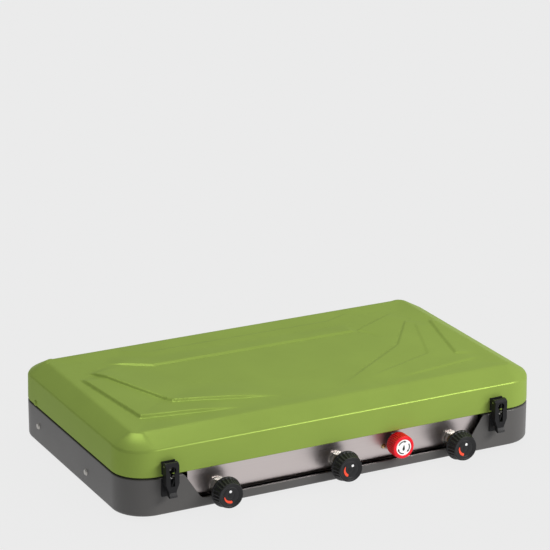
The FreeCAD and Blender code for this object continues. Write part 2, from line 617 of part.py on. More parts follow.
# ---------------------------------------------------------------- latches
def latch_bracket(x):
    """Plate screwed to the lid, with two ears for the latch pin and a boss for the screw."""
    y, z = FRONT, LATCH_PIVOT_Z
    plate = block((x - 8.2, x + 8.2), (y - 1.8, y), (57.0, z + 4.0))
    boss = rod_y(2.2, x, LATCH_SCREW_Z, y - 4.2, y - 1)
    bracket = fuse(plate, boss)
    for a, b in ((-6.2, -4.6), (4.6, 6.2)):
        strap = block((x + a, x + b), (LATCH_PIVOT_Y, y), (z - 1.6, z + 1.6))
        bracket = fuse(bracket, strap, rod_x(2.2, LATCH_PIVOT_Y, z, x + a, x + b))
    return bracket.cut(rod_x(LATCH_PIN_R, LATCH_PIVOT_Y, z, x - 9, x + 9))


def latch_pin(x):
    half = LATCH_W / 2
    return rod_x(LATCH_PIN_R, LATCH_PIVOT_Y, LATCH_PIVOT_Z, x - half, x + half)


def latch_screw(x):
    """Domed screw on the boss of the bracket, seen through the keyhole of the clip."""
    y = FRONT - 4.2
    profile = [(0, y - 2.2), (1.6, y - 1.9), (2.5, y - 1.0), (2.7, y), (0, y)]
    return lathe_y(profile, x, LATCH_SCREW_Z)


def latch_clip(x):
    """Plastic channel, closed over the pin, that hangs from the bracket and snaps over the catch."""
    half, tip, wall = LATCH_W / 2, LATCH_TIP_W / 2, 1.5
    front, top, low, pin_y = LATCH_FRONT, LATCH_PIVOT_Z, LATCH_TIP_Z, LATCH_PIVOT_Y
    side = [(front, top), (pin_y + 3.4, top), (-164.3, 58), (-164.3, 42), (-166.5, 37),
            (-169, low + 1), (front - 0.8, low), (front - 2.4, low + 1.2), (front - 1.6, low + 3),
            (front, low + 6)]
    body = polygon([(x - half, y, z) for y, z in side]).extrude(V(LATCH_W, 0, 0))
    head = rod_x(4.4, pin_y, top, x - half, x + half)
    corner = block((x - half, x + half), (front, pin_y), (top, top + 1.6))
    slope = polygon([(x - half, y, z) for y, z in ((front, top + 1.6), (pin_y, top + 1.6), (pin_y, top + 4.4),
                                                   (front + 2.6, top + 4.0))]).extrude(V(LATCH_W, 0, 0))
    body = fuse(body, head, corner, slope)
    outline = [(-half, top + 6), (half, top + 6), (half, 48), (tip, 39), (tip, low - 2), (-tip, low - 2),
               (-tip, 39), (-half, 48)]
    body = body.common(polygon([(x + a, front - 6, z) for a, z in outline]).extrude(V(0, 20, 0)))
    inside = [(front + 1.8, low + 7), (FRONT, low + 7), (FRONT, top + 6), (pin_y - 1.0, top + 5.9),
              (pin_y - 0.5, top + 2.6), (pin_y - 0.5, top), (pin_y - 2.7, top), (front + 1.8, top - 2.5)]
    channel = polygon([(x - half + wall, y, z) for y, z in inside]).extrude(V(LATCH_W - 2 * wall, 0, 0))
    narrow = polygon([(x + a, front - 6, z) for a, z in
                      ((-half + wall, top + 7), (half - wall, top + 7), (half - wall, 48.4),
                       (tip - wall, 39.4), (tip - wall, low), (-tip + wall, low),
                       (-tip + wall, 39.4), (-half + wall, 48.4))]).extrude(V(0, 20, 0))
    channel = channel.common(narrow).fuse(rod_x(2.7, pin_y, top, x - half + wall, x + half - wall))
    slot = block((x - 2.7, x + 2.7), (front - 5, front + 4), (45, LATCH_SCREW_Z))
    eye = rod_y(4.3, x, LATCH_SCREW_Z + 0.6, front - 5, front + 4)
    body = body.cut(channel).cut(slot).cut(eye)
    return body.cut(rod_x(LATCH_PIN_R + RUNNING, pin_y, top, x - 11, x + 11))


def latch_lock_pin(x):
    """Steel cross pin in the clip that sits in front of the catch tongue."""
    half = LATCH_W / 2 - 1.5
    return rod_x(1.2, -168.2, 53.5, x - half, x + half)


def latch_catch(x):
    """Black plate riveted to the base, with a short tongue."""
    y = FRONT
    plate = block((x - 8.7, x + 8.7), (y - 1.8, y), (30.0, 51.6))
    tongue = block((x - 4.5, x + 4.5), (y - 1.8, y - 0.4), (51, 56.3))
    lip = block((x - 4.5, x + 4.5), (y - 5.0, y - 0.4), (55.1, 56.3))
    return fuse(plate, tongue, lip)


def catch_rivets():
    return [Part.makeCone(2.4, 1.5, 1.2, V(x, FRONT - 1.8, z), V(0, -1, 0))
            for _, x in LATCHES for z in (36, 46)]


# ---------------------------------------------------------------- build
def build():
    os.makedirs("parts", exist_ok=True)
    group = Part.makeCompound
    axes = [(x, z) for _, x, z in TAPS]
    latches = [x for _, x in LATCHES]

    save("base_shell", base_shell())
    save("rubber_feet", group([rubber_foot(x, y) for x, y in foot_places()]))
    save("foot_screws", group([foot_screw(x, y) for x, y in foot_places()]))
    save("base_side_screws", side_screws())
    save("front_panel", front_panel())
    save("panel_screw", panel_screw())
    save("hob_tray", hob_tray())
    save("deck_screws", group([deck_screw(x) for x in DECK_SCREW_X]))
    bumper_x, bumper_y = SIDE - 9.0, BACK - 9.0
    bumpers = [lid_bumper(sx * bumper_x, sy * 60.0) for sx in (-1, 1) for sy in (-1, 1)]
    save("lid_bumpers", group(bumpers))

    for name, side in SIDES:
        save(name + "_burner_body", burner_body(side * BURNER_X))
        save(name + "_burner_cap", burner_cap(side * BURNER_X))
    ends = (BURNER_Y - 27, GRILL_Y0 + 1, BURNER_Y - 27)
    save("mixing_tubes", group([mixing_tube(x, z, end) for (x, z), end in zip(axes, ends)]))
    save("grill_housing", grill_housing())
    save("grill_plate", grill_plate())
    save("grill_guard", grill_guard())
    save("electrode_ceramics", group([electrode_ceramic(x, y) for x, y in electrode_places()]))
    save("electrode_tips", group([electrode_tip(x, y) for x, y in electrode_places()]))
    save("ignition_leads", ignition_leads())
    save("pan_support", pan_support())

    save("gas_pipe", gas_pipe())
    save("gas_inlet", gas_inlet())
    save("inlet_locknut", inlet_locknut())
    save("tap_glands", group([tap_gland(x, z) for x, z in axes]))
    save("tap_collars", group([tap_collar(x, z) for x, z in axes]))
    save("gas_jets", group([gas_jet(x, z) for x, z in axes]))
    for name, x, z in TAPS:
        save(name + "_tap_body", tap_body(x, z))
        save(name + "_tap_plug", tap_plug(x, z))
        save(name + "_tap_stem", tap_stem(x, z))
        save(name + "_knob", knob(x, z))

    save("igniter_body", igniter_body())
    save("igniter_bezel", igniter_bezel())
    save("igniter_shaft", igniter_shaft())
    save("igniter_knob", igniter_knob())
    save("igniter_disc", igniter_disc())

    save("lid_shell", lid_shell())
    save("lid_rivets", both(lid_rivet()))
    save("lid_hinge_leaves", both(lid_hinge_leaf()))
    save("base_hinge_leaves", both(base_hinge_leaf()))
    save("hinge_pins", both(hinge_pin()))
    save("lid_leaf_rivets", group(leaf_rivets(68.0)))
    save("base_rivets", group(leaf_rivets(38.0) + catch_rivets()))

    save("latch_brackets", group([latch_bracket(x) for x in latches]))
    save("latch_pins", group([latch_pin(x) for x in latches]))
    save("latch_screws", group([latch_screw(x) for x in latches]))
    save("latch_catches", group([latch_catch(x) for x in latches]))
    for name, x in LATCHES:
        save(name + "_latch_clip", latch_clip(x))
        save(name + "_latch_lock_pin", latch_lock_pin(x))


build()
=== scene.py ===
"""Looks of a closed camping stove: pressed green lid, grey base, controls and hob."""

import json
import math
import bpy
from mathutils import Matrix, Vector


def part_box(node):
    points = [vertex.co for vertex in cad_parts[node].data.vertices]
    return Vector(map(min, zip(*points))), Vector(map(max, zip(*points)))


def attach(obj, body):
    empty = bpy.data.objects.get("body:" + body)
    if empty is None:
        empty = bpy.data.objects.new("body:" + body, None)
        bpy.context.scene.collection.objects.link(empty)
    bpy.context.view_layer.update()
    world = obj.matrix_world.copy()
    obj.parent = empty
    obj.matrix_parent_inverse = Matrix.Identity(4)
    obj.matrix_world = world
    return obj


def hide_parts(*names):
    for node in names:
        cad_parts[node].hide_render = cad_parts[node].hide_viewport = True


bl_info = {
    "name": "Camping Stove",
    "version": (1, 0, 0),
    "blender": (4, 5, 0),
    "location": "View3D > Sidebar > Stove",
    "description": "Builds the visible pieces and finishes of a flat camping stove",
    "category": "Object",
}

import bmesh
import bpy
from bpy.props import FloatProperty, FloatVectorProperty, PointerProperty
from mathutils import Matrix, Vector

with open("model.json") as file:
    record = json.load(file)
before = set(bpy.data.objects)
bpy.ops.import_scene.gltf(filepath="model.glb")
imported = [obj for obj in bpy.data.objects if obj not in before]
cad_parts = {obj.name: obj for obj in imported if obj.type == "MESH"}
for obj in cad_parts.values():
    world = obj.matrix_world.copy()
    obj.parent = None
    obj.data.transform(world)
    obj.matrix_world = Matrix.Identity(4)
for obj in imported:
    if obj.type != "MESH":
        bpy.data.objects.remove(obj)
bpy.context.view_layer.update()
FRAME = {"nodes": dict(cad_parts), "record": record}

MM = 0.001


def node_limits(name):
    """Limits of a node in millimetres: (x0, x1), (y0, y1), (z0, z1)."""
    low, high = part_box(name)
    return [(low[i] / MM, high[i] / MM) for i in range(3)]


def node_centre(name):
    return [(a + b) / 2 for a, b in node_limits(name)]


LID_X, LID_Y, LID_ZS = node_limits("lid_shell")
SIDE, BACK, FRONT = LID_X[1], LID_Y[1], LID_Y[0]
LID_Z, TOP_Z = LID_ZS
FOOT_H, BASE_TOP = node_limits("base_shell")[2]
PANEL_Y = node_limits("front_panel")[1][0]
TRAY_X, TRAY_Y, TRAY_ZS = node_limits("hob_tray")
TAPS = ("left", "centre", "right")
SIDES = (("left", -1), ("right", 1))


# ------------------------------------------------------------------ sizes and colours
class StoveLook(bpy.types.PropertyGroup):
    """Sizes and colours that a user would change."""

    sheet: FloatProperty(name="Sheet thickness", description="Painted sheet steel", default=1.2 * MM,
                         unit="LENGTH")
    corner: FloatProperty(name="Case corner", description="Plan radius of the case corners",
                          default=40 * MM, unit="LENGTH")
    relief: FloatProperty(name="Relief height", description="Height of the strongest pressed step",
                          default=2.7 * MM, unit="LENGTH")
    lid_colour: FloatVectorProperty(name="Lid paint", description="Satin green enamel", subtype="COLOR",
                                    size=3, default=(0.254, 0.350, 0.071))
    base_colour: FloatVectorProperty(name="Base paint", description="Grey powder coat", subtype="COLOR",
                                     size=3, default=(0.074, 0.071, 0.069))
    steel_colour: FloatVectorProperty(name="Stainless", description="Brushed front panel and hob",
                                      subtype="COLOR", size=3, default=(0.64, 0.575, 0.565))
    knob_colour: FloatVectorProperty(name="Knob black", description="Control knobs and latches",
                                     subtype="COLOR", size=3, default=(0.009, 0.009, 0.010))
    igniter_colour: FloatVectorProperty(name="Igniter red", description="Igniter knob", subtype="COLOR",
                                        size=3, default=(0.72, 0.002, 0.014))


# ------------------------------------------------------------------ shader writing
class Value:
    """A number that varies over a surface, with arithmetic that adds Math nodes."""

    def __init__(self, finish, socket):
        self.finish = finish
        self.socket = socket

    def _math(self, operation, first, second):
        return self.finish.node("ShaderNodeMath", {"operation": operation}, {0: first, 1: second})

    def __add__(self, other):
        return self._math("ADD", self, other)

    def __radd__(self, other):
        return self._math("ADD", other, self)

    def __sub__(self, other):
        return self._math("SUBTRACT", self, other)

    def __rsub__(self, other):
        return self._math("SUBTRACT", other, self)

    def __mul__(self, other):
        return self._math("MULTIPLY", self, other)

    def __rmul__(self, other):
        return self._math("MULTIPLY", other, self)


class Finish:
    """A material with one Principled shader; constants go straight on its sockets."""

    def __init__(self, name, **constants):
        self.material = bpy.data.materials.new(name)
        self.material.use_nodes = True
        self.tree = self.material.node_tree
        self.shader = self.tree.nodes["Principled BSDF"]
        for key, value in constants.items():
            socket = self.shader.inputs[key.replace("_", " ")]
            socket.default_value = (*value, 1.0) if isinstance(value, tuple) else value
        colour = constants.get("Base_Color", (0.5, 0.5, 0.5))
        self.material.diffuse_color = (*colour, 1.0)

    def node(self, kind, settings=None, sockets=None, output=0):
        """Adds a node: its settings first, then the values or links of its sockets."""
        made = self.tree.nodes.new(kind)
        for key, value in (settings or {}).items():
            setattr(made, key, value)
        for key, value in (sockets or {}).items():
            if isinstance(value, Value):
                self.tree.links.new(value.socket, made.inputs[key])
            else:
                made.inputs[key].default_value = value
        return Value(self, made.outputs[output])

    def place(self, scale=(1, 1, 1)):
        """Object coordinates, stretched."""
        where = self.node("ShaderNodeTexCoord", output="Object")
        return self.node("ShaderNodeMapping", None, {"Vector": where, "Scale": scale})

    def noise(self, scale, detail=2.0, stretch=(1, 1, 1), rough=0.5):
        return self.node("ShaderNodeTexNoise", None, {
            "Vector": self.place(stretch), "Scale": scale, "Detail": detail, "Roughness": rough})

    def ramp(self, value, low, high, bottom=0.0, top=1.0):
        return self.node("ShaderNodeMapRange", {"clamp": True}, {
            "Value": value, "From Min": low, "From Max": high, "To Min": bottom, "To Max": top})

    def mix(self, factor, first, second):
        """Blend of two colours."""
        return self.node("ShaderNodeMix", {"data_type": "RGBA"}, {
            "Factor": factor, 6: (*first, 1.0) if isinstance(first, tuple) else first,
            7: (*second, 1.0) if isinstance(second, tuple) else second}, output=2)

    def feed(self, name, value):
        self.tree.links.new(value.socket, self.shader.inputs[name])

    def bump(self, height, distance, strength=1.0):
        """Relief from a height, in metres."""
        self.feed("Normal", self.node("ShaderNodeBump", None, {
            "Height": height, "Distance": distance, "Strength": strength}))


def shade(colour, factor):
    return tuple(c * factor for c in colour)


def satin_paint(name, colour, roughness, peel, specular, flake=0.0):
    """Sprayed enamel: orange peel, faint uneven tone, and a share of metal flake."""
    finish = Finish(name, Base_Color=colour, Specular_IOR_Level=specular, Metallic=flake)
    tone = finish.noise(18.0, 3.0)
    grain = finish.noise(1400.0, 2.0)
    patch = finish.ramp(tone, 0.3, 0.7) * 0.7 + finish.ramp(grain, 0.3, 0.7) * 0.3
    finish.feed("Base Color", finish.mix(patch, shade(colour, 0.965), shade(colour, 1.035)))
    finish.feed("Roughness", finish.ramp(tone, 0.2, 0.8, roughness - 0.03, roughness + 0.03))
    finish.bump(finish.noise(900.0, 2.0), peel)
    return finish.material


def brushed_steel(name, colour, roughness, stretch, streak, blotch):
    """Stainless with fine brush lines along the short side of the stretch."""
    finish = Finish(name, Base_Color=colour, Metallic=1.0, Anisotropic=0.5)
    lines = finish.noise(1.0, 3.0, stretch, 0.6)
    cloud = finish.noise(9.0, 2.0)
    mixed = lines * 0.6 + cloud * 0.4
    finish.feed("Base Color", finish.mix(finish.ramp(mixed, 0.3, 0.7), shade(colour, 1 - streak),
                                         shade(colour, 1 + streak)))
    finish.feed("Roughness", finish.ramp(mixed, 0.3, 0.7, roughness - blotch, roughness + blotch))
    finish.bump(lines, 0.00001, 0.5)
    return finish.material


def bright_metal(name, colour, roughness, grain=300.0, depth=0.00002):
    """Plated or turned metal with handling marks."""
    finish = Finish(name, Base_Color=colour, Metallic=1.0)
    marks = finish.noise(grain, 3.0)
    finish.feed("Roughness", finish.ramp(marks, 0.3, 0.75, roughness * 0.75, roughness * 1.35))
    finish.feed("Base Color", finish.mix(finish.ramp(marks, 0.35, 0.7), shade(colour, 0.9), colour))
    finish.bump(marks, depth, 0.5)
    return finish.material


def moulded_plastic(name, colour, roughness, texture=0.00003, specular=0.5):
    """Injection moulding with a fine spark-eroded skin."""
    finish = Finish(name, Base_Color=colour, Specular_IOR_Level=specular)
    skin = finish.noise(2500.0, 1.0)
    wear = finish.noise(60.0, 3.0)
    finish.feed("Base Color", finish.mix(finish.ramp(wear, 0.35, 0.75), colour, shade(colour, 1.25)))
    finish.feed("Roughness", finish.ramp(wear, 0.3, 0.7, roughness - 0.05, roughness + 0.07))
    finish.bump(skin, texture, 0.6)
    return finish.material


def ceramic_plate(name, colour):
    """Cream ceramic with the fine flame holes of an infrared burner; the holes are painted near-black as
    painted shade.
    """
    finish = Finish(name, Base_Color=colour, Roughness=0.85)
    where = finish.place((1 / 0.0022, 1 / 0.0022, 0.0))
    holes = finish.node("ShaderNodeTexVoronoi", {"feature": "F1", "voronoi_dimensions": "2D"}, {
        "Vector": where, "Scale": 1.0, "Randomness": 0.0})
    hole = finish.ramp(holes, 0.24, 0.34, 1.0, 0.0)
    soot = finish.ramp(finish.noise(40.0, 3.0), 0.45, 0.75)
    tone = finish.mix(soot, colour, shade(colour, 0.82))
    # Painted shade: each flame hole is coloured near-black to stand for the shade inside it; the bump only
    # dents it slightly.
    finish.feed("Base Color", finish.mix(hole, tone, (0.03, 0.025, 0.02)))
    finish.bump(1 - hole, 0.0006)
    return finish.material


def enamel_cap(name):
    """Matt black stove enamel, slightly pitted."""
    finish = Finish(name, Base_Color=(0.02, 0.02, 0.021))
    pits = finish.noise(700.0, 3.0)
    finish.feed("Roughness", finish.ramp(pits, 0.3, 0.7, 0.42, 0.6))
    finish.bump(pits, 0.00005)
    return finish.material


def make_finishes(look):
    """One material per slot of the record."""
    knob = tuple(look.knob_colour)
    steel = tuple(look.steel_colour)
    green, grey, red = tuple(look.lid_colour), tuple(look.base_colour), tuple(look.igniter_colour)
    return {
        "lid_paint": satin_paint("lid_green_enamel", green, 0.33, 0.000012, 0.0, 0.24),
        "base_paint": satin_paint("base_grey_powder_coat", grey, 0.42, 0.00002, 0.5),
        "stainless": brushed_steel("stainless_brushed", steel, 0.30, (5.0, 5.0, 700.0), 0.03, 0.03),
        "chrome_wire": bright_metal("chromed_wire", (0.78, 0.78, 0.79), 0.09, 120.0),
        "zinc_steel": bright_metal("zinc_plated_steel", (0.42, 0.405, 0.38), 0.34),
        "brass": bright_metal("turned_brass", (0.72, 0.55, 0.27), 0.27),
        "cast_alloy": bright_metal("cast_alloy", (0.52, 0.52, 0.53), 0.48, 500.0, 0.0001),
        "cap_enamel": enamel_cap("burner_cap_enamel"),
        "ceramic": ceramic_plate("grill_ceramic", (0.78, 0.72, 0.62)),
        "knob_black": moulded_plastic("knob_black_plastic", knob, 0.42, specular=0.32),
        "latch_black": moulded_plastic("latch_black_plastic", knob, 0.40, specular=0.2),
        "igniter_red": moulded_plastic("igniter_red_plastic", red, 0.33, specular=0.35),
        "face_white": moulded_plastic("printed_white", (0.86, 0.86, 0.86), 0.4),
        "rubber": moulded_plastic("foot_rubber", (0.018, 0.018, 0.018), 0.75, 0.00006),
        "lead_insulation": moulded_plastic("lead_silicone", (0.42, 0.06, 0.03), 0.5),
    }


def finish_for(slot):
    """The material of a slot, made by the finishes operator."""
    return bpy.data.materials[bpy.context.scene["stove_slots"][slot]]


def print_ink(name, colour):
    """Pad-printed mark."""
    finish = Finish(name, Base_Color=colour, Specular_IOR_Level=0.3)
    grain = finish.noise(1800.0, 1.0)
    finish.feed("Roughness", finish.ramp(grain, 0.3, 0.7, 0.4, 0.55))
    return finish.material


# ------------------------------------------------------------------ mesh writing
def metres(points):
    return [(x * MM, y * MM, z * MM) for x, y, z in points]


def add_piece(name, points, faces, body, slot, replaces=(), angle=30.0, material=None):
    """A mesh object in millimetres, with its finish, that moves with a body."""
    mesh = bpy.data.meshes.new(name)
    mesh.from_pydata(metres(points), [], faces)
    work = bmesh.new()
    work.from_mesh(mesh)
    bmesh.ops.remove_doubles(work, verts=work.verts, dist=0.00001)
    bmesh.ops.dissolve_degenerate(work, edges=work.edges, dist=0.000005)
    bmesh.ops.recalc_face_normals(work, faces=work.faces)
    work.to_mesh(mesh)
    work.free()
    piece = bpy.data.objects.new(name, mesh)
    bpy.context.scene.collection.objects.link(piece)
    smooth(mesh, angle)
    mesh.materials.append(material or finish_for(slot))
    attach(piece, body)
    if replaces:
        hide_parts(*replaces)
    return piece


def smooth(mesh, angle):
    for face in mesh.polygons:
        face.use_smooth = True
    mesh.set_sharp_from_angle(angle=math.radians(angle))


def apply_modifiers(piece, angle=30.0):
    """Turns the modified shape into the piece's own mesh."""
    graph = bpy.context.evaluated_depsgraph_get()
    made = bpy.data.meshes.new_from_object(piece.evaluated_get(graph))
    piece.modifiers.clear()
    old = piece.data
    piece.data = made
    bpy.data.meshes.remove(old)
    smooth(made, angle)


def thicken(piece, thickness):
    """Sheet thickness, grown inwards from the outer skin."""
    solidify = piece.modifiers.new("thickness", "SOLIDIFY")
    solidify.thickness = thickness * MM
    solidify.offset = -1.0
    solidify.use_even_offset = True


def cut_with(piece, cutters):
    """Removes closed shapes, given as (points, faces) in millimetres."""
    tools = []
    for points, faces in cutters:
        mesh = bpy.data.meshes.new("cutter")
        mesh.from_pydata(metres(points), [], faces)
        work = bmesh.new()
        work.from_mesh(mesh)
        bmesh.ops.recalc_face_normals(work, faces=work.faces)
        work.to_mesh(mesh)
        work.free()
        tool = bpy.data.objects.new("cutter", mesh)
        bpy.context.scene.collection.objects.link(tool)
        boolean = piece.modifiers.new("cut", "BOOLEAN")
        boolean.operation = "DIFFERENCE"
        boolean.solver = "EXACT"
        boolean.object = tool
        tools.append(tool)
    apply_modifiers(piece)
    for tool in tools:
        mesh = tool.data
        bpy.data.objects.remove(tool)
        bpy.data.meshes.remove(mesh)


def prism(outline, lift):
    """Closed shape from a flat outline moved by a vector."""
    count = len(outline)
    moved = [tuple(a + b for a, b in zip(p, lift)) for p in outline]
    faces = [tuple(range(count)), tuple(range(2 * count - 1, count - 1, -1))]
    faces += [(i, (i + 1) % count, count + (i + 1) % count, count + i) for i in range(count)]
    return list(outline) + moved, faces


def round_corners(points, steps):
    """Rounds a flat path of (u, v, radius); the ends stay."""
    path = [points[0][:2]]
    for before, corner, after in zip(points, points[1:], points[2:]):
        here = Vector(corner[:2])
        u = (Vector(before[:2]) - here).normalized()
        w = (Vector(after[:2]) - here).normalized()
        half = u.angle(w) / 2
        if corner[2] == 0 or half > math.radians(89.9):
            path.append(tuple(here))
            continue
        reach = corner[2] / math.tan(half)
        middle = here + (u + w).normalized() * corner[2] / math.sin(half)
        start, end = here + u * reach - middle, here + w * reach - middle
        sweep = start.angle_signed(end)
        for i in range(steps + 1):
            turned = start.copy()
            turned.rotate(Matrix.Rotation(-sweep * i / steps, 2))
            path.append(tuple(middle + turned))
    path.append(points[-1][:2])
    return path


def closed_corners(points, steps):
    """The same for a closed outline."""
    wrapped = [points[-1]] + list(points) + [points[0]]
    return round_corners(wrapped, steps)[1:-1]


def ring(x, y, radius, z, counts):
    """Points round a rounded rectangle, with fixed counts per long side, short side and corner."""
    long_count, short_count, corner_count = counts
    x0, x1 = x
    y0, y1 = y
    points = []
    sides = (
        ((x0 + radius, y0), (x1 - radius, y0), (x1 - radius, y0 + radius), -90, long_count),
        ((x1, y0 + radius), (x1, y1 - radius), (x1 - radius, y1 - radius), 0, short_count),
        ((x1 - radius, y1), (x0 + radius, y1), (x0 + radius, y1 - radius), 90, long_count),
        ((x0, y1 - radius), (x0, y0 + radius), (x0 + radius, y0 + radius), 180, short_count),
    )
    for start, end, middle, first_angle, count in sides:
        for i in range(count):
            t = i / count
            points.append((start[0] + (end[0] - start[0]) * t, start[1] + (end[1] - start[1]) * t, z))
        for i in range(corner_count):
            angle = math.radians(first_angle + 90 * i / corner_count)
            points.append((middle[0] + radius * math.cos(angle), middle[1] + radius * math.sin(angle), z))
    return points


def skin_rings(rings):
    """Quads between rings of equal length."""
    count = len(rings[0])
    points = [p for r in rings for p in r]
    faces = []
    for k in range(len(rings) - 1):
        for i in range(count):
            j = (i + 1) % count
            faces.append((k * count + i, k * count + j, (k + 1) * count + j, (k + 1) * count + i))
    return points, faces


def turned(profile, centre, segments=96, flutes=0, twist=0.0):
    """Closed shape turned about an axis along Y; the profile holds (radius, y, flute depth)."""
    cx, cz = centre
    rows = []
    points = []
    for radius, y, depth in profile:
        if radius == 0:
            rows.append([len(points)] * segments)
            points.append((cx, y, cz))
            continue
        row = []
        for i in range(segments):
            angle = 2 * math.pi * i / segments
            dip = depth * (0.5 - 0.5 * math.cos(flutes * angle)) ** 0.8 if depth else 0.0
            row.append(len(points))
            points.append((cx + (radius - dip) * math.cos(angle + twist), y,
                           cz + (radius - dip) * math.sin(angle + twist)))
        rows.append(row)
    faces = []
    for a, b in zip(rows, rows[1:] + rows[:1]):
        for i in range(segments):
            j = (i + 1) % segments
            quad = [a[i], a[j], b[j], b[i]]
            unique = list(dict.fromkeys(quad))
            if len(unique) > 2:
                faces.append(tuple(unique))
    return points, faces


def join_shapes(shapes):
    points, faces = [], []
    for more_points, more_faces in shapes:
        offset = len(points)
        points += more_points
        faces += [tuple(i + offset for i in face) for face in more_faces]
    return points, faces


# ------------------------------------------------------------------ lid
CREASE_Z, CREASE_INSET = 86.5, 0.6
SHOULDER_X, SHOULDER_Y, TOP_RADIUS = 25.0, 29.0, 10.0
CORNER_DIP, CORNER_CROWN = 2.0, 3.2
CREASE_ROUNDING, SHOULDER_ROUNDING = 3.4, 13.0
HEM = 5.0
STEP_WIDTH = 3.1
LID_COUNTS = (300, 160, 14)     # points per long side, short side and corner
LID_ROUND_STEPS = 7
TOP_RINGS = 84
RELIEF = (
    # points, side that stands proud (1 is left of the way), height, slope-off distance, fades at start, end
    (((-236, 56), (-221, -89), (-90, -113)), 1, 1.15, 60.0, 20.0, 70.0),
    (((-218, 70), (-168, -62), (-40, -99)), 1, 1.15, 60.0, 15.0, 60.0),
    (((-190, 90), (-138, 58), (139, 55)), 1, 0.66, 34.0, 30.0, 8.0),
    (((139, 55), (212, 94)), -1, 0.5, 40.0, 6.0, 20.0),
    (((-156, 124), (-119, 104), (124, 103), (161, 118)), -1, 0.32, 26.0, 15.0, 15.0),
    (((214, 63), (160, -12), (34, -101)), 1, 0.46, 46.0, 12.0, 60.0),
    (((218, 47), (178, -54), (70, -95)), 1, 0.34, 36.0, 14.0, 50.0),
    (((240, 52), (207, -75)), 1, 0.7, 30.0, 14.0, 10.0),
    (((100, -111), (232, -92)), 1, 0.4, 34.0, 40.0, 20.0),
)


def smooth_step(t):
    t = min(max(t, 0.0), 1.0)
    return t * t * (3 - 2 * t)


def step_height(x, y, line):
    """Height of one pressed step: a sharp rise at the line, then a long slope back."""
    points, side, height, slope, fade_start, fade_end = line
    best = None
    along = 0.0
    total = sum((Vector(b) - Vector(a)).length for a, b in zip(points, points[1:]))
    for a, b in zip(points, points[1:]):
        dx, dy = b[0] - a[0], b[1] - a[1]
        length = math.hypot(dx, dy)
        t = ((x - a[0]) * dx + (y - a[1]) * dy) / (length * length)
        held = min(max(t, 0.0), 1.0)
        away = math.hypot(x - a[0] - held * dx, y - a[1] - held * dy)
        signed = ((y - a[1]) * dx - (x - a[0]) * dy) / length
        nearer = best is None or away < best[0] - 1e-6
        if nearer or (abs(away - best[0]) < 1e-6 and abs(signed) > abs(best[1])):
            best = (away, signed, along + held * length)
        along += length
    away, signed, reached = best
    distance = away if signed * side > 0 else -away
    if distance < -STEP_WIDTH or away > slope + 5:
        return 0.0
    rise = smooth_step((distance + STEP_WIDTH / 2) / STEP_WIDTH)
    fall = 1 - smooth_step(max(distance, 0.0) / slope)
    ends = smooth_step(reached / fade_start) * smooth_step((total - reached) / fade_end)
    return height * rise * fall * ends


def lid_rings(look):
    corner = look.corner / MM
    sheet = look.sheet / MM
    profile = round_corners([
        (HEM + sheet, LID_Z + 0.25, 0), (0.0, LID_Z, 1.2), (CREASE_INSET, CREASE_Z, CREASE_ROUNDING),
        (SHOULDER_X, TOP_Z, SHOULDER_ROUNDING), (SHOULDER_X + 5, TOP_Z, 0)], LID_ROUND_STEPS)
    stretch = (SHOULDER_Y - CREASE_INSET) / (SHOULDER_X - CREASE_INSET)
    shrink = (corner - CREASE_INSET - TOP_RADIUS) / (SHOULDER_X - CREASE_INSET)
    rings = []
    for inset, z in profile:
        shoulder = max(inset - CREASE_INSET, 0.0) if z > LID_Z + 3 else 0.0
        inset_y = inset + shoulder * (stretch - 1)
        radius = max(corner - inset + shoulder * (1 - shrink), 2.0)
        rings.append((SIDE - inset, BACK - inset_y, radius, z))
    half_x, half_y, radius, z = rings[-1]
    for k in range(1, TOP_RINGS + 1):
        s = k / TOP_RINGS
        rings.append((half_x - half_y * s, half_y * (1 - s), radius * (1 - s), z))
    return [dipped(ring((-x, x), (-y, y), r, z, LID_COUNTS), (x, y, r), z) for x, y, r, z in rings]


def dipped(points, size, z):
    """At each corner the crease drops a little and the shoulder above it bulges."""
    up = (z - CREASE_Z) / (TOP_Z - CREASE_Z)
    drop = CORNER_DIP * max(1.0 - max(up, -up), 0.0)
    bulge = CORNER_CROWN * 4 * up * (1 - up) if 0 < up < 1 else 0.0
    half_x, half_y, radius = size
    moved = []
    for x, y, height in points:
        u = max(abs(x) - half_x + radius, 0.0) / max(radius, 1.0)
        v = max(abs(y) - half_y + radius, 0.0) / max(radius, 1.0)
        turn = min(2 * u * v, 1.0)
        moved.append((x, y, height + bulge * math.sqrt(turn) - drop * turn))
    return moved


def raised(point, look):
    """A point of the flat top moved up by the pressed relief."""
    x, y, z = point
    if z < TOP_Z - 1.5:
        return point
    edge = min(SIDE - SHOULDER_X + 3 - abs(x), BACK - SHOULDER_Y + 3 - abs(y))
    scale = look.relief / MM * smooth_step(edge / 9.0)
    lift = scale * sum(step_height(x, y, line) for line in RELIEF) if scale else 0.0
    return (x, y, z + lift - look.relief / MM * 0.45 * smooth_step(edge / 30.0))


def build_lid(look):
    rings = [[raised(p, look) for p in r] for r in lid_rings(look)]
    points, faces = skin_rings(rings)
    lid = add_piece("lid_pressing", points, faces, "lid", "lid_paint", ("lid_shell",), 40.0)
    thicken(lid, look.sheet / MM)
    apply_modifiers(lid, 50.0)


# ------------------------------------------------------------------ base
NOTCH_TOP, NOTCH_BOTTOM, NOTCH_Z, NOTCH_MIDDLE = 197.0, 175.0, 18.0, -3.3
BASE_RIM, BASE_COUNTS = 9.0, (60, 36, 20)
BOTTOM_INSET, BOTTOM_RADIUS = 60.0, 6.0
INLET_HOLE_R = 7.5


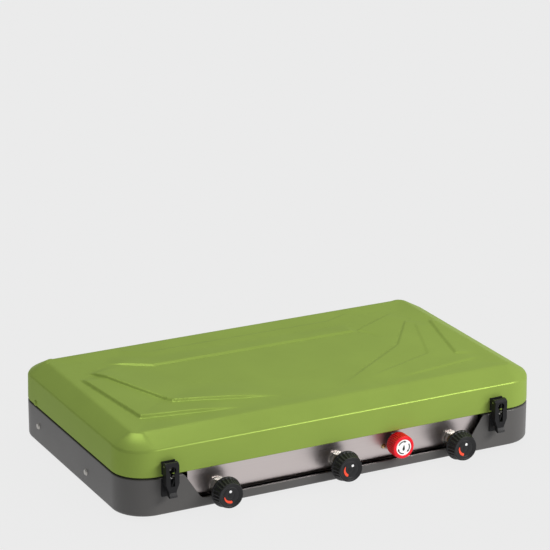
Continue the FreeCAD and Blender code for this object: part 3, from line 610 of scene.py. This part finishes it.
def notch_outline(y):
    """Opening in the front wall: flared and rounded where it meets the rim and the lip."""
    top = BASE_TOP + 4
    half = closed_corners([
        (-NOTCH_TOP - 30, top, 0), (-NOTCH_TOP - 30, BASE_TOP + 0.01, 0), (-NOTCH_TOP, BASE_TOP + 0.01, 7),
        (-NOTCH_BOTTOM, NOTCH_Z, 9), (NOTCH_BOTTOM, NOTCH_Z, 9), (NOTCH_TOP, BASE_TOP + 0.01, 7),
        (NOTCH_TOP + 30, BASE_TOP + 0.01, 0), (NOTCH_TOP + 30, top, 0)], 8)
    return [(NOTCH_MIDDLE + x, y, z) for x, z in half]


def build_base(look):
    corner, sheet = look.corner / MM, look.sheet / MM
    profile = round_corners([
        (BASE_RIM + sheet, BASE_TOP - 0.3, 0), (0.0, BASE_TOP, 1.3), (0.0, FOOT_H, 4.0),
        (BOTTOM_INSET, FOOT_H, 0)], 7)
    rings = [ring((-SIDE + i, SIDE - i), (-BACK + i, BACK - i), max(corner - i, BOTTOM_RADIUS),
                  z, BASE_COUNTS)
             for i, z in profile]
    inner_x, inner_y = SIDE - BOTTOM_INSET, BACK - BOTTOM_INSET
    for s in (0.5, 1.0):
        x, y = inner_x - inner_y * s, inner_y * (1 - s)
        rings.append(ring((-x, x), (-y, y), BOTTOM_RADIUS * (1 - s), FOOT_H, BASE_COUNTS))
    points, faces = skin_rings(rings)
    base = add_piece("base_pressing", points, faces, "base", "base_paint", ("base_shell",), 35.0)
    thicken(base, sheet)
    notch = prism(notch_outline(FRONT - 2), (0, BASE_RIM + sheet + 3.5, 0))
    inlet_x, _, inlet_z = node_centre("gas_inlet")
    inside, outside = BACK - 6, BACK + 4
    hole = turned([(0, inside, 0), (INLET_HOLE_R, inside, 0), (INLET_HOLE_R, outside, 0), (0, outside, 0)],
                  (inlet_x, inlet_z), 48)
    cut_with(base, [notch, hole])
    lip = [(FRONT + 0.9, NOTCH_Z - 0.1), (FRONT + 3, NOTCH_Z - 0.2), (FRONT + 3, NOTCH_Z - 1.3),
           (FRONT + 0.9, NOTCH_Z - 1.3)]
    x = NOTCH_BOTTOM + 1
    points, faces = prism([(NOTCH_MIDDLE - x, y, z) for y, z in lip], (2 * x, 0, 0))
    add_piece("base_front_lip", points, faces, "base", "base_paint")


# ------------------------------------------------------------------ hob
BASIN_X, BASIN_FRONT, BASIN_BACK = 252.0, -102.0, 142.0
DECK_R, BASIN_R, BASIN_INNER_R = 34.0, 20.0, 4.0
BASIN_LEAD = 30.0
HOB_SHEET, HOB_COUNTS = 0.8, (48, 28, 12)
BURNER_HOLE_R, CUT_HEIGHT = 31.0, 10.0


def build_hob():
    """Pressed hob tray: flat deck, sunken basin with soft edges, burner openings."""
    floor, deck = TRAY_ZS[0] + HOB_SHEET, TRAY_ZS[1]
    lead = round_corners([(-12.0, deck, 0), (0.0, deck, 3.0), (3.0, floor, 5.0), (BASIN_LEAD, floor, 0)], 6)
    rings = [ring(TRAY_X, TRAY_Y, DECK_R, deck, HOB_COUNTS)]
    for inset, z in lead:
        rings.append(ring((-BASIN_X + inset, BASIN_X - inset), (BASIN_FRONT + inset, BASIN_BACK - inset),
                          max(BASIN_R - inset, BASIN_INNER_R), z, HOB_COUNTS))
    middle_y = (BASIN_FRONT + BASIN_BACK) / 2
    half_x, half_y = BASIN_X - BASIN_LEAD, (BASIN_BACK - BASIN_FRONT) / 2 - BASIN_LEAD
    for s in (0.35, 0.7, 1.0):
        x, y = half_x - half_y * s, half_y * (1 - s)
        rings.append(ring((-x, x), (middle_y - y, middle_y + y), BASIN_INNER_R * (1 - s), floor, HOB_COUNTS))
    points, faces = skin_rings(rings)
    tray = add_piece("hob_pressing", points, faces, "base", "stainless", ("hob_tray",), 35.0)
    thicken(tray, HOB_SHEET)
    cutters = []
    for side, _ in SIDES:
        cx, cy, _ = node_centre(side + "_burner_cap")
        outline = [(cx + BURNER_HOLE_R * math.cos(a), cy + BURNER_HOLE_R * math.sin(a), floor - 6)
                   for a in (2 * math.pi * i / 48 for i in range(48))]
        cutters.append(prism(outline, (0, 0, CUT_HEIGHT)))
    gx, gy, _ = node_limits("grill_housing")
    box = [(gx[0] + 5, gy[0] + 12), (gx[1] - 5, gy[0] + 12), (gx[1] - 5, gy[1] - 5), (gx[0] + 5, gy[1] - 5)]
    cutters.append(prism([(x, y, floor - 6) for x, y in box], (0, 0, CUT_HEIGHT)))
    left, right = NOTCH_MIDDLE - NOTCH_TOP - 2, NOTCH_MIDDLE + NOTCH_TOP + 2
    front = [(left, TRAY_Y[0] - 2), (right, TRAY_Y[0] - 2), (right, PANEL_Y), (left, PANEL_Y)]
    cutters.append(prism([(x, y, deck - 5) for x, y in front], (0, 0, CUT_HEIGHT)))
    cut_with(tray, cutters)


# ------------------------------------------------------------------ knobs
KNOB_NOSE = 15.2
KNOB_FLUTES, KNOB_SEGMENTS = 24, 288
OFF_DOT_R, OFF_DOT_OUT, CRESCENT_R = 1.6, 5.0, 8.2
INK_DEPTH = 0.25
KNOB_TWIST = {"left": 6.0, "centre": -30.0, "right": -17.0}    # degrees, anticlockwise from the front


def knob_profile(back, face, skirt, nose):
    """Dished face, rolled rim, fluted cone, plain skirt and hollow back, from the axis outwards."""
    slope = (skirt - nose) / (back - face)
    low, high = face + 2.6, back - 3.4
    return [
        (0, face + 1.0, 0), (3.3, face + 1.0, 0), (3.7, face + 1.2, 0), (4.1, face + 1.0, 0),
        (9.6, face + 0.9, 0), (10.0, face + 1.15, 0), (10.4, face + 0.9, 0),
        (nose - 3.0, face + 0.75, 0), (nose - 2.2, face + 0.35, 0), (nose - 1.6, face + 0.05, 0),
        (nose - 0.9, face, 0), (nose - 0.3, face + 0.3, 0), (nose, face + 1.0, 0.15),
        (nose + 0.25, face + 1.8, 0.8), (nose + slope * (low - face), low, 1.25),
        (nose + slope * (high - face), high, 1.4), (skirt - 0.9, back - 2.9, 0.9),
        (skirt - 0.5, back - 2.4, 0.1), (skirt - 0.1, back - 1.8, 0), (skirt, back - 1.0, 0),
        (skirt - 0.2, back - 0.2, 0), (skirt - 0.7, back, 0), (skirt - 2.0, back, 0),
        (skirt - 3.0, back - 1.2, 0), (skirt - 5.0, back - 5.0, 0), (6.2, back - 5.0, 0),
        (5.8, back, 0), (3.1, back, 0), (3.1, back - 8.0, 0), (0, back - 8.0, 0)]


def disc_mark(centre, y, radius):
    cx, cz = centre
    outline = [(cx + radius * math.cos(a), y, cz + radius * math.sin(a))
               for a in (2 * math.pi * i / 32 for i in range(32))]
    return prism(outline, (0, INK_DEPTH, 0))


def crescent_mark(centre, y, radius, twist):
    """Flame-level mark: a thin end at nine o'clock swelling to a round end at six o'clock."""
    cx, cz = centre
    outer, inner = [], []
    steps = 28
    for i in range(steps + 1):
        t = i / steps
        angle = math.radians(176 + 100 * t) + twist
        round_end = math.sqrt(max(1 - (max(t - 0.9, 0.0) / 0.1) ** 2, 0.05))
        width = 0.3 + 3.2 * math.sqrt(max(t - 0.02, 0.0)) * round_end
        for edge, reach in ((outer, radius + width * 0.35), (inner, radius - width * 0.65)):
            edge.append((cx + reach * math.cos(angle), y, cz + reach * math.sin(angle)))
    return prism(outer + inner[::-1], (0, INK_DEPTH, 0))


def build_knobs():
    """The three fluted control knobs with their marks."""
    white = print_ink("mark_white", (0.82, 0.82, 0.82))
    red = print_ink("mark_red", (0.85, 0.075, 0.03))
    for name in TAPS:
        node = name + "_knob"
        xs, ys, zs = node_limits(node)
        centre = ((xs[0] + xs[1]) / 2, (zs[0] + zs[1]) / 2)
        face, back = ys
        skirt = (xs[1] - xs[0]) / 2
        twist = math.radians(KNOB_TWIST[name])
        points, faces = turned(knob_profile(back, face, skirt, KNOB_NOSE), centre, KNOB_SEGMENTS,
                               KNOB_FLUTES, twist)
        body = name + "_control"
        add_piece(name + "_control_knob", points, faces, body, "knob_black", (node,), 42.0)
        spot = (centre[0] - OFF_DOT_OUT * math.sin(twist), centre[1] + OFF_DOT_OUT * math.cos(twist))
        points, faces = disc_mark(spot, face + 0.82, OFF_DOT_R)
        add_piece(name + "_knob_off_dot", points, faces, body, "face_white", material=white)
        points, faces = crescent_mark(centre, face + 0.75, CRESCENT_R, twist)
        add_piece(name + "_knob_flame_mark", points, faces, body, "igniter_red", material=red)


# ------------------------------------------------------------------ igniter
IGNITER_FLUTES, SYMBOL_R, SYMBOL_WIDTH, DROP_SIZE = 36, 7.5, 1.3, 3.4
ARROW_STARTS, ARROW_SWEEP, ARROW_HEAD = (150, 30, -90), -66, 22    # degrees


def arrow_mark(centre, y, radius, start, sweep, width):
    """Curved arrow on a disc."""
    cx, cz = centre
    steps = 14

    def at(r, degrees):
        angle = math.radians(degrees)
        return (cx + r * math.cos(angle), y, cz + r * math.sin(angle))

    outer = [at(radius + width / 2, start + sweep * i / steps) for i in range(steps + 1)]
    inner = [at(radius - width / 2, start + sweep * i / steps) for i in range(steps + 1)]
    head = math.copysign(ARROW_HEAD, sweep)
    tip = [at(radius + width * 1.15, start + sweep), at(radius, start + sweep + head),
           at(radius - width * 1.15, start + sweep)]
    return prism(outer + tip + inner[::-1], (0, INK_DEPTH, 0))


def drop_mark(centre, y, size):
    """Flame drop with a pointed, slightly bent tip."""
    cx, cz = centre
    outline = []
    for i in range(36):
        a = 2 * math.pi * i / 36
        pull = math.sin(a / 2) ** 1.6
        outline.append((cx + size * 0.62 * math.sin(a) * pull + size * 0.1 * math.cos(a), y,
                        cz + size * 1.15 * math.cos(a)))
    return prism(outline, (0, INK_DEPTH, 0))


def build_igniter():
    """Fluted grip with a raised rim, and the symbol on its disc."""
    _, (face, back), (low, high) = node_limits("igniter_knob")
    shaft_x, _, shaft_z = node_centre("igniter_shaft")
    centre = (shaft_x, shaft_z)
    r = (high - low) / 2
    profile = [
        (0, face + 1.2, 0), (9.8, face + 1.2, 0), (9.8, face + 0.5, 0), (10.2, face + 0.1, 0),
        (10.7, face, 0), (r - 1.6, face, 0), (r - 0.8, face + 0.3, 0.1), (r - 0.2, face + 1.1, 0.55),
        (r, face + 2.0, 0.8), (r, back - 1.6, 0.8), (r - 0.2, back - 0.6, 0.5), (r - 0.8, back, 0.1),
        (r - 2.6, back, 0), (r - 2.6, back - 8, 0), (5.2, back - 8, 0), (4.8, back, 0),
        (2.6, back, 0), (2.6, back - 10, 0), (0, back - 10, 0)]
    points, faces = turned(profile, centre, KNOB_SEGMENTS, IGNITER_FLUTES)
    add_piece("igniter_grip", points, faces, "igniter", "igniter_red", ("igniter_knob",), 42.0)
    front = node_limits("igniter_disc")[1][0] - 0.2
    black = print_ink("mark_black", (0.02, 0.02, 0.02))
    shapes = [arrow_mark(centre, front + 0.02, SYMBOL_R, start, ARROW_SWEEP, SYMBOL_WIDTH)
              for start in ARROW_STARTS]
    shapes.append(drop_mark(centre, front + 0.02, DROP_SIZE))
    points, faces = join_shapes(shapes)
    add_piece("igniter_symbol", points, faces, "igniter", "knob_black", material=black)


# ------------------------------------------------------------------ softened CAD edges
SOFT_NODES = {
    "left_latch_clip": 0.55, "right_latch_clip": 0.55, "latch_brackets": 0.35, "latch_catches": 0.35,
    "igniter_bezel": 0.3, "tap_collars": 0.3, "inlet_locknut": 0.4, "grill_housing": 0.3,
    "left_tap_body": 0.5, "centre_tap_body": 0.5, "right_tap_body": 0.5,
}
EDGE_SEGMENTS, EDGE_ANGLE = 2, 40


def soften_edges():
    """Small edge radii on the pieces whose shape is already right."""
    for name, width in SOFT_NODES.items():
        node = FRAME["nodes"][name]
        weld = node.modifiers.new("weld", "WELD")
        weld.merge_threshold = 0.00001
        bevel = node.modifiers.new("edge_radius", "BEVEL")
        bevel.width = width * MM
        bevel.segments = EDGE_SEGMENTS
        bevel.limit_method = "ANGLE"
        bevel.angle_limit = math.radians(EDGE_ANGLE)
        bevel.harden_normals = False


# ------------------------------------------------------------------ stage
AIM = (-3.4 * MM, 0.0, 210.0 * MM)
VIEW_CENTRE_Z = 53.0 * MM
AZIMUTH, ELEVATION, ROLL = -27.227, 21.416, 0.128
DISTANCE = 3.1465
LENS = 169.76
FLOOR_HALF, FLOOR_GLOW = 20.0, 0.795
SKY_LIGHT = 0.36
LAMPS = (
    # name, place, width and height in metres, watts, colour
    ("key_softbox", (0.85, -1.22, 0.92), (1.0, 0.45), 25.0, (1.0, 0.99, 0.975)),
    ("top_softbox", (0.0, 0.9, 2.1), (1.2, 1.2), 21.0, (1.0, 1.0, 1.0)),
)


def aimed(location, target, roll=0.0):
    """Rotation of a camera or lamp that looks at a point."""
    way = Vector(target) - Vector(location)
    return way.to_track_quat("-Z", "Y").to_matrix().to_4x4() @ Matrix.Rotation(roll, 4, "Z")


def build_stage():
    scene = bpy.context.scene
    a, e = math.radians(AZIMUTH), math.radians(ELEVATION)
    back = Vector((math.sin(a) * math.cos(e), -math.cos(a) * math.cos(e), math.sin(e)))
    camera = bpy.data.objects.new("camera", bpy.data.cameras.new("camera"))
    location = Vector((0, 0, VIEW_CENTRE_Z)) + back * DISTANCE
    camera.data.lens = LENS
    camera.data.clip_end = 50
    camera.matrix_world = Matrix.Translation(location) @ aimed(location, AIM, math.radians(ROLL))
    scene.collection.objects.link(camera)
    scene.camera = camera
    scene.view_settings.view_transform = "Standard"

    floor_finish = Finish("pale_floor", Base_Color=(0.10, 0.10, 0.10), Roughness=1.0, Specular_IOR_Level=0.0,
                          Emission_Color=(1.0, 1.0, 1.0), Emission_Strength=FLOOR_GLOW)
    mesh = bpy.data.meshes.new("floor")
    corners = [(FLOOR_HALF * x, FLOOR_HALF * y, 0) for x, y in ((-1, -1), (1, -1), (1, 1), (-1, 1))]
    mesh.from_pydata(corners, [], [(0, 1, 2, 3)])
    mesh.materials.append(floor_finish.material)
    floor = bpy.data.objects.new("floor", mesh)
    scene.collection.objects.link(floor)

    world = bpy.data.worlds.new("studio")
    scene.world = world
    world.use_nodes = True
    sky = world.node_tree.nodes["Background"]
    sky.inputs["Color"].default_value = (0.98, 0.99, 1.0, 1.0)
    sky.inputs["Strength"].default_value = SKY_LIGHT

    for name, place, (width, height), power, colour in LAMPS:
        lamp = bpy.data.lights.new(name, "AREA")
        lamp.shape = "RECTANGLE"
        lamp.size = width
        lamp.size_y = height
        lamp.energy = power
        lamp.color = colour
        thing = bpy.data.objects.new(name, lamp)
        thing.matrix_world = Matrix.Translation(Vector(place)) @ aimed(place, (0, 0, 0.05))
        scene.collection.objects.link(thing)
        unlit = bpy.data.collections.new(name + "_unlit")
        unlit.objects.link(floor)
        thing.light_linking.receiver_collection = unlit
        unlit.collection_objects[0].light_linking.link_state = "EXCLUDE"


# ------------------------------------------------------------------ operators
class STOVE_OT_finishes(bpy.types.Operator):
    """Makes every finish and puts it on the frame's own pieces"""

    bl_idname = "stove.finishes"
    bl_label = "Finishes"

    def execute(self, context):
        made = make_finishes(context.scene.stove_look)
        context.scene["stove_slots"] = {slot: material.name for slot, material in made.items()}
        for row in FRAME["record"]["subparts"]:
            node = FRAME["nodes"][row["node"]]
            for holder in node.material_slots:
                holder.material = made[row["material_slot"]]
        soften_edges()
        return {"FINISHED"}


class STOVE_OT_lid(bpy.types.Operator):
    """Builds the pressed lid"""

    bl_idname = "stove.lid"
    bl_label = "Lid"

    def execute(self, context):
        build_lid(context.scene.stove_look)
        return {"FINISHED"}


class STOVE_OT_base(bpy.types.Operator):
    """Builds the base with its front opening"""

    bl_idname = "stove.base"
    bl_label = "Base"

    def execute(self, context):
        build_base(context.scene.stove_look)
        return {"FINISHED"}


class STOVE_OT_hob(bpy.types.Operator):
    """Builds the pressed hob tray"""

    bl_idname = "stove.hob"
    bl_label = "Hob tray"

    def execute(self, context):
        build_hob()
        return {"FINISHED"}


class STOVE_OT_knobs(bpy.types.Operator):
    """Builds the control knobs and their marks"""

    bl_idname = "stove.knobs"
    bl_label = "Control knobs"

    def execute(self, context):
        build_knobs()
        return {"FINISHED"}


class STOVE_OT_igniter(bpy.types.Operator):
    """Builds the igniter knob and its symbol"""

    bl_idname = "stove.igniter"
    bl_label = "Igniter"

    def execute(self, context):
        build_igniter()
        return {"FINISHED"}


class STOVE_OT_stage(bpy.types.Operator):
    """Sets the camera, the floor and the studio light"""

    bl_idname = "stove.stage"
    bl_label = "Stage"

    def execute(self, context):
        build_stage()
        return {"FINISHED"}


STEPS = (STOVE_OT_stage, STOVE_OT_finishes, STOVE_OT_lid, STOVE_OT_base, STOVE_OT_hob, STOVE_OT_knobs,
         STOVE_OT_igniter)


class STOVE_PT_panel(bpy.types.Panel):
    """Sidebar list of the steps"""

    bl_idname = "STOVE_PT_panel"
    bl_label = "Camping stove"
    bl_space_type = "VIEW_3D"
    bl_region_type = "UI"
    bl_category = "Stove"

    def draw(self, context):
        for name in StoveLook.__annotations__:
            self.layout.prop(context.scene.stove_look, name)
        for step in STEPS:
            self.layout.operator(step.bl_idname)


CLASSES = (StoveLook, *STEPS, STOVE_PT_panel)


def register():
    for kind in CLASSES:
        bpy.utils.register_class(kind)
    bpy.types.Scene.stove_look = PointerProperty(type=StoveLook)


def unregister():
    del bpy.types.Scene.stove_look
    for kind in reversed(CLASSES):
        bpy.utils.unregister_class(kind)


def main():
    register()
    for step in STEPS:
        getattr(bpy.ops.stove, step.bl_idname.split(".")[1])()


if __name__ == "__main__":
    main()
